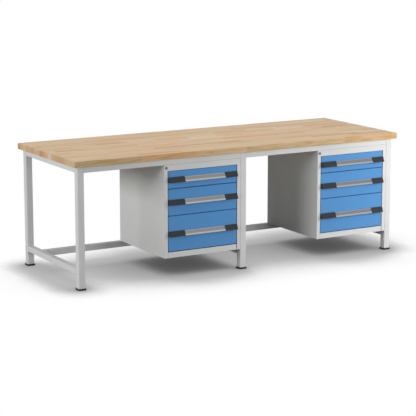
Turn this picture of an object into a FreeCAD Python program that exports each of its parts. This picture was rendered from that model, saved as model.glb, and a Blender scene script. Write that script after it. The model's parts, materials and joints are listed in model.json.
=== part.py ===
import FreeCAD, Part
import os
import re
import Sketcher

# Workbench: beech worktop on a steel frame, with two hanging cabinets of three drawers each.
# Frame: origin on the floor under the middle of the worktop, X to the right, Y to the back, Z up.

# Driving sizes in millimetres
SIZES = {
    # Worktop
    "bench_length": 2500,
    "bench_depth": 900,
    "bench_height": 840,
    "top_thickness": 40,
    "top_round": 3,
    # Steel frame
    "leg_width": 45,
    "leg_end_inset": 28,
    "leg_front_inset": 25,
    "rail_width": 40,
    "rail_height": 40,
    "stretcher_width": 40,
    "stretcher_height": 40,
    "stretcher_clear": 100,
    "tube_wall": 2,
    "tube_round": 3,
    # Foot caps
    "foot_width": 54,
    "foot_height": 12,
    "foot_round": 4,
    "plug_height": 25,
    "plug_fit": 0.2,
    # Cabinets
    "cabinet_width": 578,
    "cabinet_depth": 642,
    "cabinet_gap": 1,
    "cabinet_seat": 22,
    "cabinet_sheet": 1.2,
    "flange_width": 25,
    "top_strip": 40,
    "bottom_strip": 40,
    "strip_seam": 1,
    # Drawers, whose bottom one takes the height that is left
    "top_pitch": 120,
    "middle_pitch": 180,
    "drawer_gap": 4.5,
    "front_sheet": 1.2,
    "front_depth": 18,
    "front_round": 1,
    "box_sheet": 1.2,
    "box_rise": 8,
    "box_drop": 25,
    "back_room": 22,
    # Runners
    "runner_height": 45,
    "runner_depth": 10,
    "runner_sheet": 1.5,
    "runner_clear": 0.4,
    "runner_rise": 30,
    "runner_setback": 2,
    "middle_shortfall": 40,
    "flange_clear": 1,
    "upright_width": 40,
    "upright_sheet": 1.5,
    "upright_inset": 60,
    # Handles
    "handle_height": 31,
    "handle_reach": 22,
    "handle_top_reach": 7,
    "hood_wall": 2.5,
    "mount_wall": 2,
    "mount_height": 22,
    "left_grip": 118,
    "right_grip": 95,
    "grip_over": 2,
    "grip_end_wall": 3,
    # Locks
    "lock_inset": 16,
    "lock_head_width": 18,
    "lock_head_height": 2.5,
    "sleeve_width": 14,
    "sleeve_length": 22,
    "sleeve_fit": 0.3,
    "lock_ring_width": 20,
    "lock_ring_height": 4,
    "barrel_width": 10,
    "barrel_fit": 0.05,
    "cam_length": 18,
    "cam_width": 8,
    "cam_thickness": 2.5,
    "cam_clear": 0.3,
    "key_slot_width": 1.6,
    "key_slot_height": 6,
    "key_slot_depth": 8,
    # Screws
    "screw_width": 8,
    "screw_head_width": 14,
    "screw_head_height": 5,
    "screw_play": 0.3,
    "screw_access": 1.5,
    "screw_bite": 25,
    "screw_tail": 8,
    "screw_from_leg": 150,
    "screw_from_side": 100,
}

# Places and sizes that follow from the driving ones
PLACES = {
    "frame_top": "bench_height - top_thickness",
    "rail_bottom": "frame_top - rail_height",
    "front_plane": "leg_front_inset - bench_depth/2",
    "rear_plane": "bench_depth/2 - leg_front_inset",
    "end_plane": "bench_length/2 - leg_end_inset",
    "bay_length": "end_plane - 3*leg_width/2",
    "side_length": "rear_plane - front_plane - 2*leg_width",
    "cabinet_floor": "stretcher_clear + stretcher_height",
    "cabinet_height": "rail_bottom - cabinet_floor",
    "bottom_pitch": "cabinet_height - top_strip - bottom_strip - top_pitch - middle_pitch",
    "middle_web": "flange_width + flange_clear",
    "fixed_web": "middle_web - runner_clear - runner_sheet",
    "box_side": "middle_web + runner_depth + runner_clear + runner_sheet",
    "box_width": "cabinet_width - 2*box_side",
    "box_depth": "cabinet_depth - cabinet_sheet - front_sheet - back_room",
    "runner_front": "front_depth + runner_setback",
    "runner_length": "box_depth + front_sheet - runner_front",
    "middle_height": "runner_height - 2*runner_sheet - 2*runner_clear",
    "inner_height": "middle_height - 2*runner_sheet - 2*runner_clear",
    "front_width": "cabinet_width - 2*flange_width - 2*drawer_gap",
    "grip_half": "handle_height/2 + grip_over",
    "lock_middle": "rail_bottom - top_strip/2",
    "screw_hole": "screw_width/2 + screw_play",
    "left_cabinet": "-leg_width/2 - cabinet_gap - cabinet_width",
    "right_cabinet": "end_plane - leg_width - cabinet_gap - cabinet_width",
    "left_bay": "leg_width - end_plane",
    "right_bay": "leg_width/2",
}

# Each drawer's bottom above the cabinet's floor, and the height it takes up
DRAWERS = {
    "top": ("bottom_strip + bottom_pitch + middle_pitch", "top_pitch"),
    "middle": ("bottom_strip + bottom_pitch", "middle_pitch"),
    "bottom": ("bottom_strip", "bottom_pitch"),
}

# Sketch planes: the origin plane, and whether its normal points along the positive axis
VIEWS = {
    "plan": ("XY_Plane", True),
    "front": ("XZ_Plane", False),
    "side": ("YZ_Plane", True),
}

doc = FreeCAD.newDocument("Workbench")
sheet = doc.addObject("Spreadsheet::Sheet", "Sizes")
for row, (alias, size) in enumerate(SIZES.items(), start=1):
    sheet.set(f"A{row}", alias)
    sheet.set(f"B{row}", str(size))
    sheet.setAlias(f"B{row}", alias)
doc.recompute()

parts = []


def formula(text):
    """Spell named places and sizes out as cells of the sheet."""
    def spell(match):
        word = match.group()
        if word in PLACES:
            return f"({formula(PLACES[word])})"
        return f"Sizes.{word}"
    return re.sub(r"[a-z_]+", spell, str(text))


def value(text):
    """Present value of a formula."""
    return float(sheet.evalExpression(formula(text)))


def new_part(label, x=0, y=0, z=0):
    """Empty body at a bound place, kept in the list of parts to write."""
    body = doc.addObject("PartDesign::Body", label)
    for axis, text in zip("xyz", (x, y, z)):
        body.setExpression(f"Placement.Base.{axis}", formula(text))
    parts.append(body)
    return body


def hold(sketch, geometry, point, across, up):
    """Bind one sketch point to its two distances from the sketch's origin."""
    for kind, text in (("DistanceX", across), ("DistanceY", up)):
        distance = Sketcher.Constraint(kind, -1, 1, geometry, point, value(text))
        sketch.setExpression(f"Constraints[{sketch.addConstraint(distance)}]", formula(text))


def draw(body, view, loops, circles, start):
    """Sketch of closed loops and of circles (across, up, radius), set off along the view's axis."""
    plane, forward = VIEWS[view]
    sketch = body.newObject("Sketcher::SketchObject", "Section")
    support = next(feature for feature in body.Origin.OriginFeatures if feature.Role == plane)
    sketch.AttachmentSupport = [(support, "")]
    sketch.MapMode = "FlatFace"
    sign = "" if forward else "-"
    sketch.setExpression("AttachmentOffset.Base.z", formula(f"{sign}({start})"))
    for corners in loops:
        first = sketch.GeometryCount
        points = [FreeCAD.Vector(value(across), value(up), 0) for across, up in corners]
        for begin, end in zip(points, points[1:] + points[:1]):
            sketch.addGeometry(Part.LineSegment(begin, end))
        for index, (across, up) in enumerate(corners):
            following = first + (index + 1) % len(corners)
            sketch.addConstraint(Sketcher.Constraint("Coincident", first + index, 2, following, 1))
            hold(sketch, first + index, 1, across, up)
    for across, up, radius in circles:
        centre = FreeCAD.Vector(value(across), value(up), 0)
        circle = sketch.addGeometry(Part.Circle(centre, FreeCAD.Vector(0, 0, 1), value(radius)))
        size = sketch.addConstraint(Sketcher.Constraint("Radius", circle, value(radius)))
        sketch.setExpression(f"Constraints[{size}]", formula(radius))
        hold(sketch, circle, 3, across, up)
    return sketch


def extrude(body, view, length, loops=(), circles=(), start=0):
    """Add material along the view's positive axis."""
    sketch = draw(body, view, loops, circles, start)
    pad = body.newObject("PartDesign::Pad", "Pad")
    pad.Profile = sketch
    pad.Reversed = not VIEWS[view][1]
    pad.setExpression("Length", formula(length))


def cut(body, view, length, loops=(), circles=(), start=0):
    """Take material away along the view's positive axis."""
    doc.recompute()
    before = body.Shape.Volume
    sketch = draw(body, view, loops, circles, start)
    pocket = body.newObject("PartDesign::Pocket", "Pocket")
    pocket.Profile = sketch
    pocket.Reversed = VIEWS[view][1]
    pocket.setExpression("Length", formula(length))
    doc.recompute()
    if body.Shape.Volume >= before:
        raise ValueError(f"{body.Label}: the pocket takes nothing away")


def round_edges(body, radius, chosen):
    """Round the edges whose end points pass the test."""
    doc.recompute()
    base = body.Tip
    names = []
    for number, edge in enumerate(base.Shape.Edges, start=1):
        if chosen([vertex.Point for vertex in edge.Vertexes]):
            names.append(f"Edge{number}")
    fillet = body.newObject("PartDesign::Fillet", "Fillet")
    fillet.Base = (base, names)
    fillet.setExpression("Radius", formula(radius))


def rectangle(left, low, right, high):
    return [(left, low), (right, low), (right, high), (left, high)]


def tubes(label, view, length, corners, width, height, at):
    """Square tubes of one length, each with its section's lower left corner given."""
    body = new_part(label, *at)
    loops = []
    for left, low in corners:
        right = f"{left} + {width}"
        high = f"{low} + {height}"
        loops.append(rectangle(left, low, right, high))
        loops.append(rectangle(f"{left} + tube_wall", f"{low} + tube_wall",
                               f"{right} - tube_wall", f"{high} - tube_wall"))
    extrude(body, view, length, loops)
    outside = [(value(across), value(up)) for loop in loops[::2] for across, up in loop]

    def on_outside(points):
        return any(all(at_corner(view, point, corner) for point in points) for corner in outside)

    round_edges(body, "tube_round", on_outside)
    return body


def at_corner(view, point, corner):
    """Whether a point lies over a corner of the view's section."""
    flat = {"plan": (point.x, point.y), "front": (point.x, point.z), "side": (point.y, point.z)}[view]
    return all(abs(here - there) < 0.001 for here, there in zip(flat, corner))


def channel(web, inner, tip, middle, height):
    """C section: web from one face to its inner face, two flanges out to the tip."""
    top = f"{middle} + ({height})/2"
    low = f"{middle} - ({height})/2"
    return [(web, low), (web, top), (tip, top), (tip, f"{top} - runner_sheet"),
            (inner, f"{top} - runner_sheet"), (inner, f"{low} + runner_sheet"),
            (tip, f"{low} + runner_sheet"), (tip, low)]


def channel_pair(web, middle, height):
    """Two channels that face each other, from the cabinet's left and right sides."""
    left = channel(web, f"{web} + runner_sheet", f"{web} + runner_depth", middle, height)
    right = [(f"cabinet_width - ({across})", up) for across, up in left]
    return [left, right]


def bay_screws(bay):
    """Places along one bay where the worktop is screwed to its rails."""
    return [f"{bay} + screw_from_leg", f"{bay} + bay_length - screw_from_leg"]


def cabinet_screws(cabinet):
    """Places across one cabinet where its top is screwed to the front rail."""
    return [f"{cabinet} + screw_from_side", f"{cabinet} + cabinet_width - screw_from_side"]


BAYS = {"left": "left_bay", "right": "right_bay"}
CABINETS = {"left": "left_cabinet", "right": "right_cabinet"}
RAIL_ROWS = {"front": "front_plane", "rear": "rear_plane - rail_width"}
LEG_ROWS = {"front": "front_plane", "rear": "rear_plane - leg_width"}
LEG_PAIRS = {"left": "-end_plane", "middle": "-leg_width/2", "right": "end_plane - leg_width"}
TOP_SCREWS = [(x, f"{row} + rail_width/2", "screw_hole")
              for row in RAIL_ROWS.values() for bay in BAYS.values() for x in bay_screws(bay)]
CABINET_SCREWS = [(x, "front_plane + rail_width/2", "screw_hole")
                  for cabinet in CABINETS.values() for x in cabinet_screws(cabinet)]


def resized(circles, radius):
    """The same circle centres with another radius."""
    return [(across, up, radius) for across, up, old in circles]


# Worktop with its rounded edges and the screws' pilot holes
worktop = new_part("worktop", z="frame_top")
extrude(worktop, "plan", "top_thickness",
        [rectangle("-bench_length/2", "-bench_depth/2", "bench_length/2", "bench_depth/2")])
round_edges(worktop, "top_round", lambda points: True)
cut(worktop, "plan", "screw_bite + screw_play", circles=TOP_SCREWS)

# Legs
for row, y in LEG_ROWS.items():
    for pair, x in LEG_PAIRS.items():
        tubes(f"{row}_leg_{pair}", "plan", "frame_top - foot_height", [("0", "0")],
              "leg_width", "leg_width", (x, y, "foot_height"))

# Side rails of the three leg pairs, under the worktop and near the floor
for label, width, height, low in (
    ("upper_side_rails", "rail_width", "rail_height", "rail_bottom"),
    ("lower_side_rails", "stretcher_width", "stretcher_height", "stretcher_clear"),
):
    corners = [("-end_plane", "0"), (f"-{width}/2", "0"), (f"end_plane - {width}", "0")]
    tubes(label, "front", "side_length", corners, width, height,
          ("0", "front_plane + leg_width", low))

# Front and rear rails, with holes for the worktop's and the cabinets' screws
for row, y in RAIL_ROWS.items():
    for side, bay in BAYS.items():
        rail = tubes(f"{row}_rail_{side}", "side", "bay_length", [("0", "0")],
                     "rail_width", "rail_height", (bay, y, "rail_bottom"))
        through = [(f"{x} - {bay}", "rail_width/2", "screw_hole") for x in bay_screws(bay)]
        cut(rail, "plan", "3*tube_wall", circles=through, start="rail_height - 2*tube_wall")
        cut(rail, "plan", "2*tube_wall", circles=resized(through, "screw_head_width/2 + screw_access"))
        if row == "front":
            hanging = [(f"{x} - {bay}", "rail_width/2", "screw_hole")
                       for x in cabinet_screws(CABINETS[side])]
            cut(rail, "plan", "2*tube_wall", circles=hanging)

# Long lower stretchers between the lower side rails, under the cabinets' backs
for side, x in (("left", "stretcher_width - end_plane"), ("right", "stretcher_width/2")):
    tubes(f"long_stretcher_{side}", "side", "end_plane - 3*stretcher_width/2", [("0", "0")],
          "stretcher_width", "stretcher_height",
          (x, "front_plane + cabinet_depth - cabinet_seat", "stretcher_clear"))

# Foot caps with plugs in the leg tubes
feet = new_part("foot_caps")
plates = []
plugs = []
for y in LEG_ROWS.values():
    for x in LEG_PAIRS.values():
        middle = (f"{x} + leg_width/2", f"{y} + leg_width/2")
        for group, half in ((plates, "foot_width/2"), (plugs, "(leg_width/2 - tube_wall - plug_fit)")):
            group.append(rectangle(f"{middle[0]} - {half}", f"{middle[1]} - {half}",
                                   f"{middle[0]} + {half}", f"{middle[1]} + {half}"))
extrude(feet, "plan", "foot_height", plates)
round_edges(feet, "foot_round", lambda points: abs(points[0].z - points[-1].z) > 0.001)
extrude(feet, "plan", "plug_height", plugs, start="foot_height")

# Screws: heads under what they hold, shanks up into what it hangs from
for label, circles, seat, shank in (
    ("worktop_screws", TOP_SCREWS, "frame_top - tube_wall", "tube_wall + screw_bite"),
    ("cabinet_screws", CABINET_SCREWS, "rail_bottom - cabinet_sheet",
     "cabinet_sheet + tube_wall + screw_tail"),
):
    screws = new_part(label, z=seat)
    extrude(screws, "plan", "screw_head_height", circles=resized(circles, "screw_head_width/2"),
            start="-screw_head_height")
    extrude(screws, "plan", shank, circles=resized(circles, "screw_width/2"))

# Uprights on the cabinets' sides that carry the fixed runners
uprights = new_part("runner_uprights", y="front_plane", z="cabinet_floor + cabinet_sheet")
loops = []
for cabinet in CABINETS.values():
    for front in ("upright_inset", "cabinet_depth - cabinet_sheet - upright_inset - upright_width"):
        back = f"{front} + upright_width"
        section = [("cabinet_sheet", front), ("fixed_web", front), ("fixed_web", back),
                   ("cabinet_sheet", back), ("cabinet_sheet", f"{back} - upright_sheet"),
                   ("fixed_web - upright_sheet", f"{back} - upright_sheet"),
                   ("fixed_web - upright_sheet", f"{front} + upright_sheet"),
                   ("cabinet_sheet", f"{front} + upright_sheet")]
        loops.append([(f"{cabinet} + {across}", depth) for across, depth in section])
        loops.append([(f"{cabinet} + cabinet_width - ({across})", depth) for across, depth in section])
extrude(uprights, "plan", "cabinet_height - cabinet_sheet - top_strip", loops)

# Lock housings: head before the strip, sleeve through it, ring behind it
housings = new_part("lock_housings", y="front_plane", z="lock_middle")
for start, length, width in (("-lock_head_height", "lock_head_height", "lock_head_width"),
                             ("0", "sleeve_length", "sleeve_width"),
                             ("cabinet_sheet", "lock_ring_height", "lock_ring_width")):
    rings = []
    for cabinet in CABINETS.values():
        rings.append((f"{cabinet} + lock_inset", "0", f"{width}/2"))
        rings.append((f"{cabinet} + lock_inset", "0", "barrel_width/2 + barrel_fit"))
    extrude(housings, "front", length, circles=rings, start=start)


def build_cabinet(name, left):
    """Shell, top, base, fixed runners and lock barrel of one cabinet."""
    # Shell: back, sides and front flanges, the flanges stopping under the top strip
    shell = new_part(f"{name}_cabinet_shell", left, "front_plane", "cabinet_floor")
    half = [("flange_width", "0"), ("0", "0"), ("0", "cabinet_depth")]
    inside = [("cabinet_sheet", "cabinet_depth - cabinet_sheet"), ("cabinet_sheet", "cabinet_sheet"),
              ("flange_width", "cabinet_sheet")]
    outer_right = [(f"cabinet_width - {across}", depth) for across, depth in reversed(half)]
    inner_right = [(f"cabinet_width - {across}", depth) for across, depth in reversed(inside)]
    extrude(shell, "plan", "cabinet_height", [half + outer_right + inner_right + inside])
    cut(shell, "front", "cabinet_sheet",
        [rectangle("-cabinet_sheet", "cabinet_height - top_strip",
                   "cabinet_width + cabinet_sheet", "cabinet_height + cabinet_sheet")])

    # Top: front strip over the full width, sheet between the sides
    top = new_part(f"{name}_cabinet_top", left, "front_plane", "rail_bottom")
    sheet_plan = rectangle("cabinet_sheet", "cabinet_sheet",
                           "cabinet_width - cabinet_sheet", "cabinet_depth - cabinet_sheet")
    extrude(top, "front", "cabinet_sheet", [rectangle("0", "-top_strip", "cabinet_width", "0")])
    extrude(top, "plan", "cabinet_sheet", [sheet_plan], start="-cabinet_sheet")
    cut(top, "front", "2*cabinet_sheet",
        circles=[("lock_inset", "-top_strip/2", "sleeve_width/2 + sleeve_fit")], start="-cabinet_sheet")
    hanging = [(x, "rail_width/2", "screw_hole") for x in cabinet_screws("0")]
    cut(top, "plan", "3*cabinet_sheet", circles=hanging, start="-2*cabinet_sheet")

    # Base: front strip in line with the drawer fronts, its ends folded back, and a sheet between the sides
    base = new_part(f"{name}_cabinet_base", left, "front_plane", "cabinet_floor")
    strip_left = "flange_width + strip_seam"
    strip_right = "cabinet_width - flange_width - drawer_gap"
    strip_height = "bottom_strip - drawer_gap/2"
    extrude(base, "front", "cabinet_sheet", [rectangle(strip_left, "0", strip_right, strip_height)])
    extrude(base, "plan", strip_height,
            [rectangle(strip_left, "0", f"{strip_left} + cabinet_sheet", "front_depth"),
             rectangle(f"{strip_right} - cabinet_sheet", "0", strip_right, "front_depth")])
    extrude(base, "plan", "cabinet_sheet", [sheet_plan])

    # Fixed runners, a pair for each drawer
    fixed = new_part(f"{name}_fixed_runners", left, "front_plane + runner_front", "cabinet_floor")
    loops = []
    for low, pitch in DRAWERS.values():
        loops += channel_pair("fixed_web", f"{low} + drawer_gap/2 + box_rise + runner_rise", "runner_height")
    extrude(fixed, "front", "runner_length", loops)

    # Lock barrel with its key slot in front and its cam behind the sleeve
    barrel = new_part(f"{name}_lock_barrel", f"{left} + lock_inset", "front_plane", "lock_middle")
    extrude(barrel, "front", "lock_head_height + sleeve_length + cam_clear",
            circles=[("0", "0", "barrel_width/2")], start="-lock_head_height")
    extrude(barrel, "front", "cam_thickness",
            [rectangle("-cam_width/2", "-cam_width/2", "cam_length", "cam_width/2")],
            start="sleeve_length + cam_clear")
    cut(barrel, "front", "key_slot_depth",
        [rectangle("-key_slot_width/2", "-key_slot_height/2", "key_slot_width/2", "key_slot_height/2")],
        start="-lock_head_height")


def hood(half, reach, top_reach):
    """Handle section: mounting leg on the front, hood that slopes out and down over the finger gap."""
    inner_top = "handle_height/2 - mount_wall"
    mount_low = "handle_height/2 - mount_height"
    return [("0", half), (f"-({top_reach})", half), (f"-({reach})", f"-({half})"),
            ("hood_wall - handle_reach", f"-({half})"), ("hood_wall - handle_top_reach", inner_top),
            ("-mount_wall", inner_top), ("-mount_wall", mount_low), ("0", mount_low)]


def build_drawer(name, left, low, pitch):
    """Box, front, handle, grips and middle runner members of one drawer."""
    # Box: floor, walls and the two rails on its sides
    box_low = f"cabinet_floor + {low} + drawer_gap/2 + box_rise"
    box = new_part(f"{name}_drawer_box", f"{left} + box_side", "front_plane + front_sheet", box_low)
    outline = rectangle("0", "0", "box_width", "box_depth")
    inline = rectangle("box_sheet", "box_sheet", "box_width - box_sheet", "box_depth - box_sheet")
    extrude(box, "plan", "box_sheet", [outline])
    extrude(box, "plan", f"{pitch} - drawer_gap - box_rise - box_drop", [outline, inline])
    rail = channel("0", "-runner_sheet", "-runner_depth", "runner_rise", "inner_height")
    mirrored = [(f"box_width - ({across})", up) for across, up in rail]
    extrude(box, "front", "runner_length", [rail, mirrored], start="runner_front - front_sheet")

    # Front: folded pan, open at the back
    front_low = f"cabinet_floor + {low} + drawer_gap/2"
    front_left = f"{left} + flange_width + drawer_gap"
    front = new_part(f"{name}_drawer_front", front_left, "front_plane", front_low)
    height = f"{pitch} - drawer_gap"
    face = rectangle("0", "0", "front_width", height)
    hollow = rectangle("front_sheet", "front_sheet", "front_width - front_sheet", f"{height} - front_sheet")
    extrude(front, "front", "front_sheet", [face])
    extrude(front, "front", "front_depth", [face, hollow])
    round_edges(front, "front_round", lambda points: all(abs(p.y) < 0.001 for p in points))

    # Handle: label strip between two grips that close its ends
    middle = f"cabinet_floor + {low} + ({pitch})/2"
    handle = new_part(f"{name}_drawer_handle", f"{front_left} + left_grip", "front_plane", middle)
    extrude(handle, "side", "front_width - left_grip - right_grip",
            [hood("handle_height/2", "handle_reach", "handle_top_reach")])
    grips = new_part(f"{name}_drawer_grips", front_left, "front_plane", middle)
    grip_hood = hood("grip_half", "handle_reach + grip_over", "handle_top_reach + grip_over")
    closed_end = grip_hood[:3] + [("0", "-grip_half")]
    extrude(grips, "side", "left_grip", [grip_hood])
    extrude(grips, "side", "grip_end_wall", [closed_end])
    extrude(grips, "side", "right_grip", [grip_hood], start="front_width - right_grip")
    extrude(grips, "side", "grip_end_wall", [closed_end], start="front_width - grip_end_wall")

    # Middle members of the runners, between the fixed members and the box's rails
    runners = new_part(f"{name}_drawer_runners", left, "front_plane + runner_front",
                       f"{box_low} + runner_rise")
    extrude(runners, "front", "runner_length - middle_shortfall",
            channel_pair("middle_web", "0", "middle_height"))


for side, cabinet in CABINETS.items():
    build_cabinet(side, cabinet)
    for level, (low, pitch) in DRAWERS.items():
        build_drawer(f"{side}_{level}", cabinet, low, pitch)

doc.recompute()

# Check every object before anything is written
for item in doc.Objects:
    if "Invalid" in item.State or "Error" in item.State:
        raise ValueError(f"{item.Label}: {item.State}")
for body in parts:
    if body.Shape.isNull() or not body.Shape.isValid() or not body.Shape.Solids:
        raise ValueError(f"{body.Label}: bad shape")

os.makedirs("parts", exist_ok=True)
for body in parts:
    body.Shape.exportStep(f"parts/{body.Label}.step")
    print(f"{body.Label}: {len(body.Shape.Solids)} solids")
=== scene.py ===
import json
import math

import bmesh
import bpy
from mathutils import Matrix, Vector


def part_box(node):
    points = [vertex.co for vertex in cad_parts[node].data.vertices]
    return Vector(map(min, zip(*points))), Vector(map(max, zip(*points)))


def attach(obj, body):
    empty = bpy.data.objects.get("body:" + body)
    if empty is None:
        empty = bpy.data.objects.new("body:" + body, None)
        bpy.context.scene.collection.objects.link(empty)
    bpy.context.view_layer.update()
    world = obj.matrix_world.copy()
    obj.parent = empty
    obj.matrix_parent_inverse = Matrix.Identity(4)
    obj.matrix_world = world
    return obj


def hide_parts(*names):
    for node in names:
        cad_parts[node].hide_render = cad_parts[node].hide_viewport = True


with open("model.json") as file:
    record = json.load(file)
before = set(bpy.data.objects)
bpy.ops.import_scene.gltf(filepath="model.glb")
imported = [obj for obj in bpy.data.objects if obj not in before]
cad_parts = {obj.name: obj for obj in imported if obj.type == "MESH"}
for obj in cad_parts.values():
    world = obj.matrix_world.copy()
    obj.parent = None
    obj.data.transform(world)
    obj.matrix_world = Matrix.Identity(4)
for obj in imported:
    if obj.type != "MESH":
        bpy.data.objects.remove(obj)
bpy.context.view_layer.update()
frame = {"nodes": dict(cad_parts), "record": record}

# Camera, in the part's frame: metres and degrees, lens and sensor in millimetres
CAMERA_PLACE = (-5.33792, -9.16719, 2.43846)
CAMERA_YAW = 30.0843
CAMERA_PITCH = 11.1534
CAMERA_LENS = 134.584
CAMERA_SENSOR = 36.0

# Drawer handles, in metres: section across the front, from the front's face and the handle's middle
HANDLE_HALF = 0.0155
HANDLE_REACH = 0.022
HANDLE_TOP_REACH = 0.007
HOOD_WALL = 0.0025
MOUNT_WALL = 0.002
MOUNT_DROP = 0.0065
GRIP_OVER = 0.002
GRIP_END_WALL = 0.003

# Sunk channel on the handle's slope, and the bare label in it
UPPER_LIP = 0.0030
LOWER_LIP = 0.0105
CHANNEL_DEPTH = 0.0014
LABEL_PLAY = 0.0004
LABEL_BACK = 0.0001
LABEL_FACE = 0.0005
LABEL_END_PLAY = 0.0005

# Rounding of the label strips and of their end caps
STRIP_ROUNDING = 0.0004
CAP_ROUNDING = 0.0009

# Beech worktop, in metres: staves across it, blocks along each stave
STAVE_SEED = 1220.0
STAVE_WIDTH = 0.046
STAVE_OFFSET = 0.46
SHORTEST_BLOCK = 0.20
LONGEST_BLOCK = 0.55
TOP_MIDDLE = 0.82

# Scales of the wood's figure along X, Y and Z
FIBRE_SCALE = (5.0, 210.0, 210.0)
RAY_SCALE = (240.0, 1900.0, 700.0)
STREAK_SCALE = (7.0, 75.0, 75.0)
RING_SCALE = 330.0

# Colours of the blocks, and what darkens or tints them
BLOCK_TONES = (
    (0.0, (0.475, 0.252, 0.110)),
    (0.22, (0.510, 0.338, 0.178)),
    (0.5, (0.575, 0.425, 0.252)),
    (0.74, (0.590, 0.355, 0.178)),
    (0.9, (0.605, 0.472, 0.300)),
    (1.0, (0.520, 0.280, 0.120)),
)
FLAME_BROWN = (0.520, 0.310, 0.162)
RAY_BROWN = (0.36, 0.215, 0.115)
GLUE_BROWN = (0.30, 0.18, 0.09)
PALE_END, BROWN_END = (1.01, 1.10, 1.32), (0.83, 0.71, 0.50)
PALE_EDGE, BROWN_EDGE = (1.00, 1.02, 1.15), (0.82, 0.78, 0.57)

# Floor: half its side, reach and share of what hides the sky over it, and how far that sky leans
FLOOR_REACH = 60.0
NEAR_REACH, NEAR_SHARE = 0.55, 0.4
FAR_REACH, FAR_SHARE = 0.95, 0.6
CONTACT_REACH = 0.22
SKY_LEAN = (0.2, 0.0, 0.0)
# Grey levels of the floor's painted shadow for each share of open sky, broad and in close contact
SHADOW_LEVELS = (
    (0.0, 0.03), (0.13, 0.10), (0.24, 0.14), (0.31, 0.26), (0.45, 0.38), (0.58, 0.45),
    (0.66, 0.48), (0.72, 0.62), (0.78, 0.75), (0.81, 0.88), (0.86, 0.95), (0.92, 1.0),
)
CONTACT_LEVELS = (
    (0.0, 0.03), (0.3, 0.16), (0.5, 0.33), (0.8, 0.45), (0.9, 0.61), (0.97, 0.86), (1.0, 1.0),
)

# White surroundings: strength where they are seen or mirrored, and as a light
SEEN_STRENGTH = 1.0
LIGHT_STRENGTH = 0.02

# Lamps: name, place, point aimed at, width, height, power in watts
LAMPS = (
    ("top_light", (0.0, 0.0, 4.0), (0.0, 0.0, 0.8), 5.0, 4.0, 110.0),
    ("front_light", (1.2, -6.0, 0.9), (0.4, 0.0, 0.4), 1.6, 1.2, 101.0),
    ("front_right_light", (2.5, -2.0, 1.2), (1.1, -0.4, 0.5), 1.4, 1.2, 52.0),
    ("left_light", (-7.4, -1.2, 2.6), (-0.6, -0.1, 0.4), 5.0, 2.0, 364.0),
    ("back_light", (1.6, 6.0, 0.7), (0.3, 0.0, 0.4), 1.6, 1.0, 100.0),
)

SIDES = ("left", "right")
LEVELS = ("top", "middle", "bottom")


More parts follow.
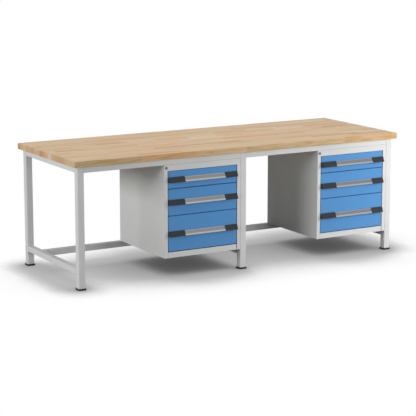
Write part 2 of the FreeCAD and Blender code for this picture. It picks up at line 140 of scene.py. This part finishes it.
class Shader:
    """Node material on a principled surface, with short calls for the nodes it needs."""

    FIRST_COLOUR, SECOND_COLOUR, MIXED_COLOUR = 6, 7, 2

    def __init__(self, name, metallic=0.0, specular=0.5):
        self.material = bpy.data.materials.new(name)
        self.material.use_nodes = True
        self.tree = self.material.node_tree
        self.surface = self.tree.nodes["Principled BSDF"]
        self.surface.inputs["Metallic"].default_value = metallic
        self.surface.inputs["Specular IOR Level"].default_value = specular
        self.place = self.add("ShaderNodeTexCoord").outputs["Object"]

    def add(self, kind, inputs=None, **settings):
        node = self.tree.nodes.new(kind)
        for name, setting in settings.items():
            setattr(node, name, setting)
        for name, source in (inputs or {}).items():
            self.feed(node.inputs[name], source)
        return node

    def feed(self, socket, source):
        if isinstance(source, bpy.types.NodeSocket):
            self.tree.links.new(source, socket)
        else:
            socket.default_value = source

    def maths(self, operation, *values):
        node = self.add("ShaderNodeMath", operation=operation)
        for socket, source in zip(node.inputs, values):
            self.feed(socket, source)
        return node.outputs["Value"]

    def plus(self, first, second):
        return self.maths("ADD", first, second)

    def minus(self, first, second):
        return self.maths("SUBTRACT", first, second)

    def times(self, first, second):
        return self.maths("MULTIPLY", first, second)

    def to_whole(self, value):
        """Distance of a value from the nearest whole number."""
        part = self.maths("FRACT", value)
        return self.maths("MINIMUM", part, self.minus(1.0, part))

    def vector(self, operation, *values):
        node = self.add("ShaderNodeVectorMath", operation=operation)
        for socket, source in zip(node.inputs, values):
            self.feed(socket, source)
        return node.outputs["Value" if operation == "DOT_PRODUCT" else "Vector"]

    def split(self, place):
        return self.add("ShaderNodeSeparateXYZ", {"Vector": place}).outputs

    def joined(self, x, y, z):
        return self.add("ShaderNodeCombineXYZ", {"X": x, "Y": y, "Z": z}).outputs["Vector"]

    def noise(self, place, scale, detail=2.0, roughness=0.5):
        inputs = {"Vector": place, "Scale": scale, "Detail": detail, "Roughness": roughness}
        return self.add("ShaderNodeTexNoise", inputs).outputs["Fac"]

    def chances(self, dimensions, inputs):
        """Three chance values that belong to a number or a place."""
        drawn = self.add("ShaderNodeTexWhiteNoise", inputs, noise_dimensions=dimensions).outputs["Color"]
        return self.add("ShaderNodeSeparateColor", {"Color": drawn}).outputs

    def spread(self, source, low, high, start=0.0, end=1.0):
        inputs = {"Value": source, "From Min": start, "From Max": end, "To Min": low, "To Max": high}
        return self.add("ShaderNodeMapRange", inputs).outputs["Result"]

    def vary(self, noise, low, high):
        """Noise, which seldom leaves 0.3 to 0.7, spread from low to high."""
        return self.spread(noise, low, high, 0.3, 0.7)

    def rise(self, source, start, end):
        """0 up to start, 1 from end on."""
        return self.spread(source, 0.0, 1.0, start, end)

    def fade(self, source, start, end):
        """1 up to start, 0 from end on."""
        return self.spread(source, 1.0, 0.0, start, end)

    def ramp(self, source, stops):
        node = self.add("ShaderNodeValToRGB", {"Fac": source})
        elements = node.color_ramp.elements
        while len(elements) < len(stops):
            elements.new(0.5)
        for element, (position, colour) in zip(elements, stops):
            element.position = position
            element.color = (*colour, 1.0)
        return node.outputs["Color"]

    def grey_ramp(self, source, stops):
        return self.ramp(source, [(position, (grey, grey, grey)) for position, grey in stops])

    def mix(self, amount, first, second, blend="MIX"):
        node = self.add("ShaderNodeMix", {"Factor": amount}, data_type="RGBA", blend_type=blend)
        for index, source in ((self.FIRST_COLOUR, first), (self.SECOND_COLOUR, second)):
            self.feed(node.inputs[index], (*source, 1.0) if isinstance(source, tuple) else source)
        return node.outputs[self.MIXED_COLOUR]

    def shade(self, colour, amount):
        """Colour times a grey amount."""
        grey = self.joined(amount, amount, amount)
        return self.mix(1.0, colour, grey, "MULTIPLY")

    def rounded(self, radius):
        """Normal that runs round the edges."""
        return self.add("ShaderNodeBevel", {"Radius": radius}, samples=4).outputs["Normal"]

    def sharp_edges(self, rounded):
        """1 on sharp edges and 0 on flat faces."""
        flat = self.add("ShaderNodeNewGeometry").outputs["True Normal"]
        return self.fade(self.vector("DOT_PRODUCT", rounded, flat), 0.72, 0.98)

    def open_sky(self, reach, normal):
        """Share of the sky that nothing within reach hides."""
        inputs = {"Distance": reach, "Normal": normal}
        return self.add("ShaderNodeAmbientOcclusion", inputs, samples=16).outputs["AO"]

    def relief(self, height, normal, depth):
        inputs = {"Height": height, "Distance": depth, "Strength": 1.0, "Normal": normal}
        self.feed(self.surface.inputs["Normal"], self.add("ShaderNodeBump", inputs).outputs["Normal"])

    def finish(self, colour, roughness):
        self.feed(self.surface.inputs["Base Color"], colour)
        self.feed(self.surface.inputs["Roughness"], roughness)
        return self.material


def powder_coat(name, colour, roughness, edge_radius):
    """Sprayed and baked paint: orange peel, slightly uneven gloss, thinner on the edges, which are lighter in
    patches, partly as rubbed paint and partly as a painted highlight.
    """
    paint = Shader(name, specular=0.25)
    peel = paint.noise(paint.place, scale=900.0, detail=2.0)
    speckle = paint.noise(paint.place, scale=2600.0, detail=1.0)
    cloud = paint.noise(paint.place, scale=3.0, detail=3.0)
    edge_patches = paint.noise(paint.place, scale=45.0, detail=4.0)
    rounded = paint.rounded(edge_radius)
    edge = paint.sharp_edges(rounded)
    body = paint.shade(colour, paint.vary(cloud, 0.965, 1.035))
    body = paint.shade(body, paint.vary(speckle, 0.97, 1.03))
    # Edges lighter in patches: partly rubbed-through paint, partly a painted highlight along them
    wear_and_highlight = paint.times(edge, paint.spread(edge_patches, 0.0, 0.35, 0.45, 0.75))
    rubbed_and_highlight_colour = tuple(min(1.0, 0.55 * part + 0.42) for part in colour)
    body = paint.mix(wear_and_highlight, body, rubbed_and_highlight_colour)
    paint.relief(paint.plus(peel, paint.times(speckle, 0.35)), rounded, depth=0.00006)
    gloss = paint.vary(cloud, roughness - 0.04, roughness + 0.05)
    return paint.finish(body, paint.minus(gloss, paint.times(edge, 0.05)))


def beech():
    """Glued beech: staves along X with butt joints, rings, fibres, rays, uneven ends and streaked edges."""
    wood = Shader("beech_staves", specular=0.45)
    parts = wood.split(wood.place)
    x, y, z = (parts[axis] for axis in "XYZ")

    # Stave and block numbers, and chance values of each
    across = wood.maths("DIVIDE", wood.plus(y, STAVE_OFFSET), STAVE_WIDTH)
    stave = wood.maths("FLOOR", across)
    shift, stretch, _ = wood.chances("1D", {"W": wood.plus(stave, STAVE_SEED)})
    length = wood.spread(stretch, SHORTEST_BLOCK, LONGEST_BLOCK)
    along = wood.plus(wood.maths("DIVIDE", x, length), wood.times(shift, 9.0))
    block = wood.maths("FLOOR", along)
    tone, lean, depth = wood.chances("3D", {"Vector": wood.joined(stave, block, STAVE_SEED)})

    # Growth rings about a pith that lies off the block, wavering slowly along the grain
    sideways = wood.minus(wood.times(wood.maths("FRACT", across), STAVE_WIDTH), STAVE_WIDTH / 2)
    from_pith_y = wood.plus(sideways, wood.spread(lean, -0.09, 0.09))
    from_pith_z = wood.plus(wood.minus(z, TOP_MIDDLE), wood.spread(depth, 0.03, 0.12))
    waver = wood.noise(wood.joined(wood.times(x, 2.2), wood.times(stave, 3.7), wood.times(block, 5.1)),
                       scale=1.0, detail=2.0)
    radius = wood.maths("SQRT", wood.plus(wood.maths("POWER", from_pith_y, 2.0),
                                          wood.maths("POWER", from_pith_z, 2.0)))
    radius = wood.plus(radius, wood.times(waver, 0.012))
    rings = wood.add("ShaderNodeTexNoise", {"W": wood.times(radius, RING_SCALE), "Scale": 1.0, "Detail": 2.0},
                     noise_dimensions="1D").outputs["Fac"]

    # Fibres, rays and streaks, broken at every joint
    apart = wood.times(tone, 40.0)

    def stretched(scale):
        return wood.joined(wood.plus(wood.times(x, scale[0]), apart), wood.times(y, scale[1]),
                           wood.times(z, scale[2]))

    fibres = wood.noise(stretched(FIBRE_SCALE), scale=1.0, detail=5.0, roughness=0.6)
    rays = wood.rise(wood.noise(stretched(RAY_SCALE), scale=1.0, detail=1.0), 0.64, 0.72)
    band = wood.noise(stretched(STREAK_SCALE), scale=1.0, detail=2.0)
    flame = wood.rise(band, 0.54, 0.72)

    # Glue lines between staves, as shares of a stave, and at butt joints, in metres
    glue = wood.fade(wood.to_whole(across), 0.004, 0.012)
    butt = wood.fade(wood.times(wood.to_whole(along), length), 0.0002, 0.0006)
    joint = wood.maths("MAXIMUM", glue, butt)

    colour = wood.ramp(tone, BLOCK_TONES)
    colour = wood.shade(colour, wood.vary(rings, 0.90, 1.08))
    colour = wood.shade(colour, wood.vary(fibres, 0.92, 1.07))
    colour = wood.mix(wood.times(flame, 0.40), colour, FLAME_BROWN)
    colour = wood.mix(wood.times(rays, 0.35), colour, RAY_BROWN)
    colour = wood.mix(wood.times(joint, 0.30), colour, GLUE_BROWN)

    # Cut ends differ from block to block, and the long edges are streaked
    normal = wood.split(wood.add("ShaderNodeNewGeometry").outputs["Normal"])
    end_grain = wood.mix(lean, PALE_END, BROWN_END)
    edge_grain = wood.mix(wood.rise(band, 0.34, 0.66), PALE_EDGE, BROWN_EDGE)
    for axis, tint in (("X", end_grain), ("Y", edge_grain)):
        facing = wood.rise(wood.maths("ABSOLUTE", normal[axis]), 0.35, 0.75)
        colour = wood.mix(facing, colour, wood.mix(1.0, colour, tint, "MULTIPLY"))

    height = wood.minus(wood.plus(fibres, wood.times(rings, 0.5)), joint)
    wood.relief(height, wood.rounded(0.002), depth=0.00008)
    return wood.finish(colour, wood.vary(fibres, 0.42, 0.56))


def moulded_plastic(name, colour, roughness):
    """Moulded plastic with a fine spark-eroded grain, and sharp edges lighter, partly as rubbing and partly
    as a painted highlight.
    """
    plastic = Shader(name, specular=0.3)
    grain = plastic.noise(plastic.place, scale=1500.0, detail=3.0, roughness=0.6)
    cloud = plastic.noise(plastic.place, scale=12.0, detail=2.0)
    rounded = plastic.rounded(0.0012)
    body = plastic.shade(colour, plastic.vary(cloud, 0.92, 1.08))
    # Sharp edges lighter: partly rubbed plastic, partly a painted highlight
    body = plastic.mix(plastic.times(plastic.sharp_edges(rounded), 0.10), body, (0.20, 0.20, 0.20))
    plastic.relief(grain, rounded, depth=0.00005)
    return plastic.finish(body, plastic.vary(grain, roughness - 0.06, roughness + 0.06))


def metal(name, colour, stain, roughness, drawn):
    """Bare or plated metal, with fine lines along the axis it was drawn along and a faint stain."""
    steel = Shader(name, metallic=1.0)
    stretched = {"X": (14.0, 2200.0, 2200.0), "Y": (2200.0, 14.0, 2200.0)}[drawn]
    along = steel.vector("MULTIPLY", steel.place, stretched)
    lines = steel.noise(along, scale=1.0, detail=3.0, roughness=0.6)
    cloud = steel.noise(steel.place, scale=18.0, detail=4.0, roughness=0.6)
    body = steel.mix(steel.rise(cloud, 0.35, 0.7), colour, stain)
    body = steel.shade(body, steel.vary(lines, 0.93, 1.05))
    steel.relief(lines, steel.rounded(0.0006), depth=0.00002)
    return steel.finish(body, steel.vary(cloud, roughness - 0.05, roughness + 0.07))


FRAME_PAINT = powder_coat("frame_powder_coat", (0.605, 0.618, 0.610), roughness=0.50, edge_radius=0.0012)
BOX_PAINT = powder_coat("box_powder_coat", (0.560, 0.574, 0.566), roughness=0.52, edge_radius=0.0006)
DRAWER_PAINT = powder_coat("drawer_powder_coat", (0.088, 0.262, 0.540), roughness=0.55, edge_radius=0.0010)
BEECH = beech()
BLACK_PLASTIC = moulded_plastic("black_plastic", (0.026, 0.026, 0.027), roughness=0.58)
ALUMINIUM = metal("satin_aluminium", (0.48, 0.472, 0.460), (0.52, 0.512, 0.500), roughness=0.48, drawn="X")
ZINC = metal("zinc_plate", (0.60, 0.61, 0.63), (0.66, 0.645, 0.60), roughness=0.30, drawn="Y")
LOCK_METAL = metal("dark_nickel", (0.15, 0.15, 0.155), (0.19, 0.185, 0.18), roughness=0.36, drawn="Y")
LABEL_FOIL = metal("label_foil", (0.29, 0.286, 0.283), (0.31, 0.306, 0.303), roughness=0.55, drawn="X")

FINISHES = {
    "beech": BEECH,
    "frame_paint": FRAME_PAINT,
    "drawer_paint": DRAWER_PAINT,
    "box_paint": BOX_PAINT,
    "handle_aluminium": ALUMINIUM,
    "black_plastic": BLACK_PLASTIC,
    "zinc_steel": ZINC,
    "lock_metal": LOCK_METAL,
}

# Finish of every solid, by its slot
for subpart in frame["record"]["subparts"]:
    solid = frame["nodes"][subpart["node"]]
    solid.data.materials.clear()
    solid.data.materials.append(FINISHES[subpart["material_slot"]])


def new_piece(name, mesh, material, body):
    """Finished mesh as a piece that rides on a body."""
    data = bpy.data.meshes.new(name)
    bmesh.ops.recalc_face_normals(mesh, faces=mesh.faces[:])
    mesh.to_mesh(data)
    mesh.free()
    data.materials.append(material)
    piece = bpy.data.objects.new(name, data)
    bpy.context.scene.collection.objects.link(piece)
    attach(piece, body)
    return piece


def soften(piece, width, segments):
    """Round a piece's edges."""
    bevel = piece.modifiers.new("soft_edges", "BEVEL")
    bevel.width = width
    bevel.segments = segments
    bevel.limit_method = "ANGLE"
    bevel.angle_limit = math.radians(25)
    bevel.harden_normals = True
    for polygon in piece.data.polygons:
        polygon.use_smooth = True


def loop(mesh, x, points, place):
    """Vertices of a section in the plane at x, its points given as depth and height."""
    return [mesh.verts.new((x, place.y + depth, place.z + height)) for depth, height in points]


def bridge(mesh, first, second):
    """Faces between two loops of the same length."""
    for index in range(len(first)):
        following = (index + 1) % len(first)
        mesh.faces.new((first[index], first[following], second[following], second[index]))


def prism(points, place, start, end):
    """Closed prism of a section along X."""
    mesh = bmesh.new()
    ends = [loop(mesh, x, points, place) for x in (start, end)]
    bridge(mesh, *ends)
    for end_loop in ends:
        mesh.faces.new(end_loop)
    return mesh


# Slope of the handle's hood, from its top to its bottom
SLOPE_TOP = Vector((-HANDLE_TOP_REACH, HANDLE_HALF))
SLOPE_LOW = Vector((-HANDLE_REACH, -HANDLE_HALF))
SLOPE_LENGTH = (SLOPE_LOW - SLOPE_TOP).length
SLOPE = (SLOPE_LOW - SLOPE_TOP).normalized()
OUTWARD = Vector((SLOPE.y, -SLOPE.x))


def on_slope(down, out):
    """Point on the hood, down its slope from the top and out of its face."""
    return tuple(SLOPE_TOP + SLOPE * down + OUTWARD * out)


# Hollow behind the hood, for the fingers, and the foot of the wall on the drawer's front
HOLLOW = [
    (HOOD_WALL - HANDLE_TOP_REACH, HANDLE_HALF - MOUNT_WALL),
    (-MOUNT_WALL, HANDLE_HALF - MOUNT_WALL),
    (-MOUNT_WALL, -MOUNT_DROP),
]
FOOT = [(0.0, -MOUNT_DROP)]

# Label strip: lips above and below a sunk channel
CHANNEL_LOW = SLOPE_LENGTH - LOWER_LIP
STRIP = [
    (0.0, HANDLE_HALF),
    tuple(SLOPE_TOP),
    on_slope(UPPER_LIP, 0.0),
    on_slope(UPPER_LIP, -CHANNEL_DEPTH),
    on_slope(CHANNEL_LOW, -CHANNEL_DEPTH),
    on_slope(CHANNEL_LOW, 0.0),
    tuple(SLOPE_LOW),
    (HOOD_WALL - HANDLE_REACH, -HANDLE_HALF),
    *HOLLOW,
    *FOOT,
]
LABEL = [
    on_slope(UPPER_LIP + LABEL_PLAY, LABEL_BACK - CHANNEL_DEPTH),
    on_slope(UPPER_LIP + LABEL_PLAY, LABEL_FACE - CHANNEL_DEPTH),
    on_slope(CHANNEL_LOW - LABEL_PLAY, LABEL_FACE - CHANNEL_DEPTH),
    on_slope(CHANNEL_LOW - LABEL_PLAY, LABEL_BACK - CHANNEL_DEPTH),
]


def grip(start, inner, end, place):
    """End cap of a handle: hood from start to inner, closed wall from inner to end."""
    half = HANDLE_HALF + GRIP_OVER
    hood = [(0.0, half), (-HANDLE_TOP_REACH - GRIP_OVER, half), (-HANDLE_REACH - GRIP_OVER, -half),
            (HOOD_WALL - HANDLE_REACH, -half)]
    corner = [(0.0, -half)]
    mesh = bmesh.new()
    mouth = loop(mesh, start, hood + HOLLOW + FOOT, place)
    mesh.faces.new(mouth)
    inside = loop(mesh, inner, hood + HOLLOW + FOOT, place)
    bridge(mesh, mouth, inside)
    inner_corner = loop(mesh, inner, corner, place)
    mesh.faces.new(inside[len(hood) - 1:] + inner_corner)
    wall = inside[:len(hood)] + inner_corner + inside[-len(FOOT):]
    outside = loop(mesh, end, hood + corner + FOOT, place)
    bridge(mesh, wall, outside)
    mesh.faces.new(outside)
    return mesh


for side in SIDES:
    for level in LEVELS:
        drawer = f"{side}_{level}_drawer"
        low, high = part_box(f"{drawer}_handle")
        outer_low, outer_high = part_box(f"{drawer}_grips")
        middle = Vector((0.0, high.y, (low.z + high.z) / 2))
        strip = new_piece(f"{drawer}_label_strip", prism(STRIP, middle, low.x, high.x), ALUMINIUM, drawer)
        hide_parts(f"{drawer}_handle")
        soften(strip, STRIP_ROUNDING, segments=2)
        label = prism(LABEL, middle, low.x + LABEL_END_PLAY, high.x - LABEL_END_PLAY)
        new_piece(f"{drawer}_label", label, LABEL_FOIL, drawer)
        left = grip(low.x, outer_low.x + GRIP_END_WALL, outer_low.x, middle)
        left_cap = new_piece(f"{drawer}_left_cap", left, BLACK_PLASTIC, drawer)
        right = grip(high.x, outer_high.x - GRIP_END_WALL, outer_high.x, middle)
        right_cap = new_piece(f"{drawer}_right_cap", right, BLACK_PLASTIC, drawer)
        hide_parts(f"{drawer}_grips")
        for cap in (left_cap, right_cap):
            soften(cap, CAP_ROUNDING, segments=3)


def seen(tree):
    """1 where something is seen straight, mirrored or through glass, 0 where it only gives light."""
    rays = tree.nodes.new("ShaderNodeLightPath").outputs
    total = rays["Is Camera Ray"]
    for name in ("Is Glossy Ray", "Is Transmission Ray"):
        either = tree.nodes.new("ShaderNodeMath")
        either.operation = "MAXIMUM"
        tree.links.new(total, either.inputs[0])
        tree.links.new(rays[name], either.inputs[1])
        total = either.outputs["Value"]
    return total


def floor_finish():
    """Pale floor: shows white, with the object's soft shadow painted in from how much sky nothing near hides,
    and throws back some of the light.
    """
    pale = Shader("pale_floor", specular=0.0)
    cloud = pale.noise(pale.place, scale=0.6, detail=2.0)
    pale.finish(pale.grey_ramp(cloud, ((0.3, 0.33), (0.7, 0.37))), pale.vary(cloud, 0.85, 0.95))
    # Painted shadow: the seen colour darkens where nearby things hide the sky, broadly and in close contact
    upright = pale.add("ShaderNodeNewGeometry").outputs["Normal"]
    leaning = pale.vector("NORMALIZE", pale.vector("ADD", upright, SKY_LEAN))
    near_sky = pale.times(pale.open_sky(NEAR_REACH, leaning), NEAR_SHARE)
    far_sky = pale.times(pale.open_sky(FAR_REACH, leaning), FAR_SHARE)
    shadow = pale.grey_ramp(pale.plus(near_sky, far_sky), SHADOW_LEVELS)
    contact_shadow = pale.grey_ramp(pale.open_sky(CONTACT_REACH, upright), CONTACT_LEVELS)
    darker = pale.mix(1.0, shadow, contact_shadow, "DARKEN")
    shown = pale.add("ShaderNodeEmission", {"Strength": 1.0, "Color": darker})
    either = pale.add("ShaderNodeMixShader", {"Fac": seen(pale.tree)})
    pale.feed(either.inputs[1], pale.surface.outputs["BSDF"])
    pale.feed(either.inputs[2], shown.outputs["Emission"])
    pale.feed(pale.tree.nodes["Material Output"].inputs["Surface"], either.outputs["Shader"])
    return pale.material


ground = bmesh.new()
bmesh.ops.create_grid(ground, x_segments=8, y_segments=8, size=FLOOR_REACH)
ground_data = bpy.data.meshes.new("floor")
ground.to_mesh(ground_data)
ground.free()
ground_data.materials.append(floor_finish())
floor = bpy.data.objects.new("floor", ground_data)
bpy.context.scene.collection.objects.link(floor)

world = bpy.data.worlds.new("studio")
bpy.context.scene.world = world
world.use_nodes = True
background = world.node_tree.nodes["Background"]
background.inputs["Color"].default_value = (1.0, 1.0, 1.0, 1.0)
strength = world.node_tree.nodes.new("ShaderNodeMapRange")
strength.inputs["To Min"].default_value = LIGHT_STRENGTH
strength.inputs["To Max"].default_value = SEEN_STRENGTH
world.node_tree.links.new(seen(world.node_tree), strength.inputs["Value"])
world.node_tree.links.new(strength.outputs["Result"], background.inputs["Strength"])


def panel(name, place, target, width, height, power):
    """Soft rectangular lamp aimed at a point."""
    light = bpy.data.lights.new(name, "AREA")
    light.shape = "RECTANGLE"
    light.size = width
    light.size_y = height
    light.energy = power
    lamp = bpy.data.objects.new(name, light)
    lamp.location = place
    lamp.rotation_euler = (Vector(target) - Vector(place)).to_track_quat("-Z", "Y").to_euler()
    lamp.visible_camera = False
    lamp.visible_glossy = False
    bpy.context.scene.collection.objects.link(lamp)


for settings in LAMPS:
    panel(*settings)

camera_data = bpy.data.cameras.new("camera")
camera_data.lens = CAMERA_LENS
camera_data.sensor_width = CAMERA_SENSOR
camera = bpy.data.objects.new("camera", camera_data)
camera.location = CAMERA_PLACE
camera.rotation_euler = (math.radians(90.0 - CAMERA_PITCH), 0.0, math.radians(-CAMERA_YAW))
bpy.context.scene.collection.objects.link(camera)
bpy.context.scene.camera = camera
bpy.context.scene.view_settings.view_transform = "Standard"
